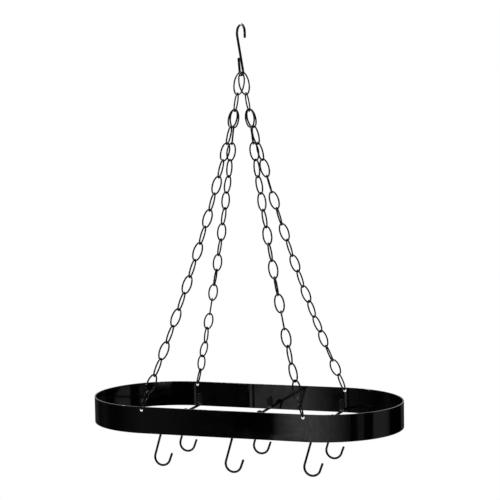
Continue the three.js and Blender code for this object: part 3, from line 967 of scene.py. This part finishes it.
# %% Band along its outline
ARC_STATIONS = 90
STRAIGHT_STATIONS = 60
FRONT_BULGE = (0.100, 0.045, 0.0003)  # place along X, half width and height
WELD_PULL, WELD_REACH = 0.0004, 0.080
SEAM_X = -0.045
SEAM_STEPS = (
    # along X from the seam, and how deep the inner side is cut there
    (-0.0018, 0.0), (-0.0008, 0.0009), (0.0006, 0.0009),
    (0.0014, -0.0002), (0.0095, -0.0002), (0.0105, 0.0),
)


def wall_swell(x, place, half_width, height):
    """A smooth swell in a straight wall, nothing beyond its half width."""
    share = min(abs(x - place) / half_width, 1.0)
    return height * (1 + math.cos(math.pi * share)) / 2


def weld_pull(x):
    """How far the weld has drawn the back wall in: a soft ridge, sharpest at the seam."""
    share = min(abs(x - SEAM_X) / WELD_REACH, 1.0)
    return WELD_PULL * (1 - share) ** 2


def band_stations():
    """Middle points of the strip, seen from above, with the way out and the inner cut."""
    stations = []
    for k in range(STRAIGHT_STATIONS):
        x = -hole_x + 2 * hole_x * k / STRAIGHT_STATIONS
        bulge = wall_swell(x, *FRONT_BULGE)
        stations.append((Vector((x, -hole_y - bulge, 0)), Vector((0, -1, 0)), 0.0))
    for k in range(ARC_STATIONS):
        angle = -math.pi / 2 + math.pi * k / ARC_STATIONS
        way = Vector((math.cos(angle), math.sin(angle), 0))
        stations.append((Vector((hole_x, 0, 0)) + way * hole_y, way, 0.0))
    back = [(hole_x - 2 * hole_x * k / STRAIGHT_STATIONS, 0.0) for k in range(STRAIGHT_STATIONS)]
    seam = [(SEAM_X + step, cut) for step, cut in SEAM_STEPS]
    clear_of_seam = [(x, cut) for x, cut in back if not seam[0][0] < x < seam[-1][0]]
    for x, cut in sorted(clear_of_seam + seam, reverse=True):
        stations.append((Vector((x, hole_y - weld_pull(x), 0)), Vector((0, 1, 0)), cut))
    for k in range(ARC_STATIONS):
        angle = math.pi / 2 + math.pi * k / ARC_STATIONS
        way = Vector((math.cos(angle), math.sin(angle), 0))
        stations.append((Vector((-hole_x, 0, 0)) + way * hole_y, way, 0.0))
    return stations


def band_mesh():
    build = bmesh.new()
    rings = []
    for middle, way, cut in band_stations():
        rings.append([
            build.verts.new(middle + way * out + Vector((0, 0, up)))
            for out, up in band_section(cut)
        ])
    for one, other in zip(rings, rings[1:] + rings[:1]):
        join_rings(build, one, other)
    bmesh.ops.recalc_face_normals(build, faces=build.faces)
    mesh = bpy.data.meshes.new("band")
    build.to_mesh(mesh)
    build.free()
    return mesh


band = add_piece("band", band_mesh(), band_paint, "rack", "band_paint", "oval_band")
print("band before drilling:", len(band.data.polygons), "faces")

# %% [markdown]
# ## Chain holes
# The holes are drilled after the strip is bent. A boolean modifier cuts them with one long
# cylinder for each pair of holes, and a bevel modifier then breaks only their sharp rims, since
# the strip's own edges turn in smaller steps than its angle limit.

# %% Drill the band
HOLE_SIDES = 40
RIM_BREAK, RIM_STEPS = 0.00015, 2
RIM_ANGLE = 50.0
WALL_WEIGHT = 100  # lets the broad walls set the shading, and the rims follow


def drill_chain_holes(piece):
    drills = []
    for side in (-1, 1):
        bpy.ops.mesh.primitive_cylinder_add(
            vertices=HOLE_SIDES, radius=HOLE_DIAMETER / 2, depth=2 * RACK_WIDTH,
            location=(side * hole_x, 0, hole_z), rotation=(math.pi / 2, 0, 0),
        )
        drill = bpy.context.active_object
        cut = piece.modifiers.new("chain_hole", "BOOLEAN")
        cut.operation = "DIFFERENCE"
        cut.solver = "EXACT"
        cut.object = drill
        drills.append(drill)
    rim = piece.modifiers.new("hole_rim", "BEVEL")
    rim.width = RIM_BREAK
    rim.segments = RIM_STEPS
    rim.limit_method = "ANGLE"
    rim.angle_limit = math.radians(RIM_ANGLE)
    piece.data.shade_smooth()
    flat = piece.modifiers.new("flat_walls", "WEIGHTED_NORMAL")
    flat.weight = WALL_WEIGHT
    flat.keep_sharp = True
    bpy.context.view_layer.update()
    finished = bpy.data.meshes.new_from_object(
        piece.evaluated_get(bpy.context.evaluated_depsgraph_get())
    )
    piece.modifiers.clear()
    piece.data = finished
    for drill in drills:
        bpy.data.objects.remove(drill)


drill_chain_holes(band)
print("band:", len(band.data.polygons), "faces")

# %% [markdown]
# ## Cross bars
# A bar is a round rod whose ends were heated and beaten flat, then turned up and welded inside
# the band. The same sweep makes it: the stations slide from round to a flat tongue, turn
# through the bend and end in a rounded tip.

# %% Cross bars
BAR_DIAMETER, BAR_BEND_RADIUS = 0.005, 0.006
BAR_END_WIDTH, BAR_END_THICKNESS, BAR_END_HEIGHT = 0.010, 0.002, 0.024
BAR_TAPER = 0.014
BAR_SIDES = 24
TAPER_STEPS, BEND_STEPS, TIP_STEPS = 12, 10, 14
TONGUE_SQUARE = 0.8  # 1 is an ellipse, and less is nearer to a rectangle
TIP_FULLNESS = 0.97  # of the tip's round, so that it ends on a short edge
TIP_THINNING, TIP_THINNING_POWER = 0.25, 4  # how much thinner its end is, and how late
BAR_NAMES = ("left", "middle", "right")


def half_bar_stations():
    """Stations from where a bar starts to flatten to the tip of its back tongue."""
    wall_y = RACK_WIDTH / 2 - BAND_THICKNESS - CLEARANCE - BAR_END_THICKNESS / 2
    round_half = BAR_DIAMETER / 2
    thin, broad = BAR_END_THICKNESS / 2, BAR_END_WIDTH / 2
    bend_y = wall_y - BAR_BEND_RADIUS
    stations = []

    def add(y, z, lean_angle, thick, wide, square):
        in_plane = Vector((0, -math.sin(lean_angle), math.cos(lean_angle)))
        stations.append((Vector((0, y, z)), in_plane * thick, X_AXIS * wide, square))

    for k in range(TAPER_STEPS + 1):
        share = k / TAPER_STEPS
        ease = share * share * (3 - 2 * share)
        add(
            bend_y - BAR_TAPER * (1 - share), 0, 0,
            round_half + (thin - round_half) * ease,
            round_half + (broad - round_half) * ease,
            1 + (TONGUE_SQUARE - 1) * ease,
        )
    for k in range(1, BEND_STEPS + 1):
        angle = math.pi / 2 * k / BEND_STEPS
        add(
            bend_y + BAR_BEND_RADIUS * math.sin(angle),
            BAR_BEND_RADIUS * (1 - math.cos(angle)), angle, thin, broad, TONGUE_SQUARE,
        )
    tip_start = BAR_END_HEIGHT - broad
    for k in range(1, TIP_STEPS + 1):
        share = k / TIP_STEPS
        rise = broad * math.sin(math.pi / 2 * share)
        half = broad * math.sqrt(1 - (rise / broad) ** 2 * TIP_FULLNESS)
        thick = thin * (1 - TIP_THINNING * share ** TIP_THINNING_POWER)
        add(wall_y, tip_start + rise, math.pi / 2, thick, half, TONGUE_SQUARE)
    return stations


def cross_bar_mesh():
    back = half_bar_stations()
    front = [
        (Vector((c.x, -c.y, c.z)), Vector((a.x, -a.y, a.z)), b, square)
        for c, a, b, square in reversed(back)
    ]
    return swept_mesh("cross_bar", front + back, BAR_SIDES)


bar_mesh = cross_bar_mesh()
bar_z = band_low.z + BAR_DIAMETER / 2
bar_xs = []
for word in BAR_NAMES:
    low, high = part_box(f"cross_bar_{word}")
    bar_xs.append((low.x + high.x) / 2)
    add_piece(
        f"bar_{word}", bar_mesh, bar_paint, "rack", "band_paint", f"cross_bar_{word}",
        place=Matrix.Translation((bar_xs[-1], 0, bar_z)),
    )
print("bars at x =", [round(x, 4) for x in bar_xs])

# %% [markdown]
# ## Weld beads
# Each tongue is welded to the band down both its sides. A bead is a row of small overlapping
# puddles, so it is swept like a wire whose thickness swells and shrinks along its length. The
# beads are too small to show from afar, but they are what holds the bars up.

# %% Beads beside the tongues
BEAD_LENGTH, BEAD_RADIUS = 0.011, 0.0011
BEAD_LIFT = 0.001  # above the bar's bend
BEAD_PUDDLES, PUDDLE_SWELL = 6, 0.14
BEAD_STATIONS, BEAD_SIDES = 48, 10
BEAD_END_POWER, BEAD_END_LEAST = 8, 0.02  # how late it narrows, and what is left at its end


def bead_mesh():
    stations = []
    for i in range(BEAD_STATIONS + 1):
        share = i / BEAD_STATIONS
        swell = abs(math.sin(math.pi * BEAD_PUDDLES * share))
        puddle = 1 - PUDDLE_SWELL + PUDDLE_SWELL * swell
        end = math.sqrt(max(BEAD_END_LEAST, 1 - (2 * share - 1) ** BEAD_END_POWER))
        size = BEAD_RADIUS * puddle * end
        centre = Vector((0, 0, BEAD_LENGTH * share))
        stations.append((centre, X_AXIS * size, Y_AXIS * size, 1.0))
    return swept_mesh("bead", stations, BEAD_SIDES)


bead = bead_mesh()
bead_y = RACK_WIDTH / 2 - BAND_THICKNESS - BEAD_RADIUS / 2
bead_z = bar_z + BAR_BEND_RADIUS + BEAD_LIFT
beads = []
for word, bar_x in zip(BAR_NAMES, bar_xs):
    for row, face in (("front", -1), ("back", 1)):
        for hand, side in (("left", -1), ("right", 1)):
            bead_x = bar_x + side * BAR_END_WIDTH / 2
            beads.append(add_piece(
                f"bead_{word}_{row}_{hand}", bead, band_paint, "rack", "band_paint",
                f"cross_bar_{word}",
                place=Matrix.Translation((bead_x, face * bead_y, bead_z)),
            ))
print(len(beads), "weld beads")

# %% [markdown]
# ## Pot hooks
# Six S-hooks of thinner wire. The small crook lies round a bar and the open bend below takes a
# pan's handle. A loose hook turns until its weight hangs straight below the bar, and the CAD
# part does the same with its own coarser drawing, so that drawing's turn is used here.

# %% Pot hooks
POT_HOOK_WIRE = 0.004
POT_HOOK_DROP = 0.064
POT_HOOK_BEND_RADIUS = 0.0155
POT_HOOK_TIP_LENGTH = 0.015
POT_HOOK_TIP_FLARE = 22.0
CROOK_TIP_LENGTH = 0.004
COARSE_STEP = 30.0  # degrees between points in the CAD part's drawing


def pot_hook_points(step):
    crook_radius = (BAR_DIAMETER + POT_HOOK_WIRE) / 2 + CLEARANCE
    bend_centre = Vector((0, -POT_HOOK_DROP))
    lean_of_shank = math.degrees(math.asin((crook_radius + POT_HOOK_BEND_RADIUS) / POT_HOOK_DROP))
    crook = arc_points(Vector((0, 0)), crook_radius, 180, -lean_of_shank, step)
    bend = arc_points(
        bend_centre, POT_HOOK_BEND_RADIUS, 180 - lean_of_shank, 360 - POT_HOOK_TIP_FLARE, step
    )
    crook_tip = point_away(crook[0], CROOK_TIP_LENGTH, -90)
    tip = point_away(bend[-1], POT_HOOK_TIP_LENGTH, 90 - POT_HOOK_TIP_FLARE)
    return [crook_tip, *crook, *bend, tip]


def plumb_turn(points):
    """The turn that brings the middle of the wire's weight straight below the bar."""
    middle, total = Vector((0, 0)), 0.0
    for one, other in zip(points, points[1:]):
        length = (other - one).length
        middle += (one + other) / 2 * length
        total += length
    middle /= total
    return -math.atan2(middle.x, -middle.y)


turn = Matrix.Rotation(plumb_turn(pot_hook_points(COARSE_STEP)), 2)
pot_hook_mesh = wire_mesh(
    "pot_hook", [turn @ p for p in pot_hook_points(ARC_STEP)], POT_HOOK_WIRE, X_AXIS
)
pot_hooks = []
for word, bar_x in zip(BAR_NAMES, bar_xs):
    for row in ("front", "back"):
        node = f"pot_hook_{row}_{word}"
        low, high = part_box(node)
        pot_hooks.append(add_piece(
            f"{row}_{word}_hook", pot_hook_mesh, hook_paint, node, "hook_paint", node,
            place=Matrix.Translation((bar_x, (low.y + high.y) / 2, bar_z)),
        ))
print(len(pot_hooks), "pot hooks on the bars")
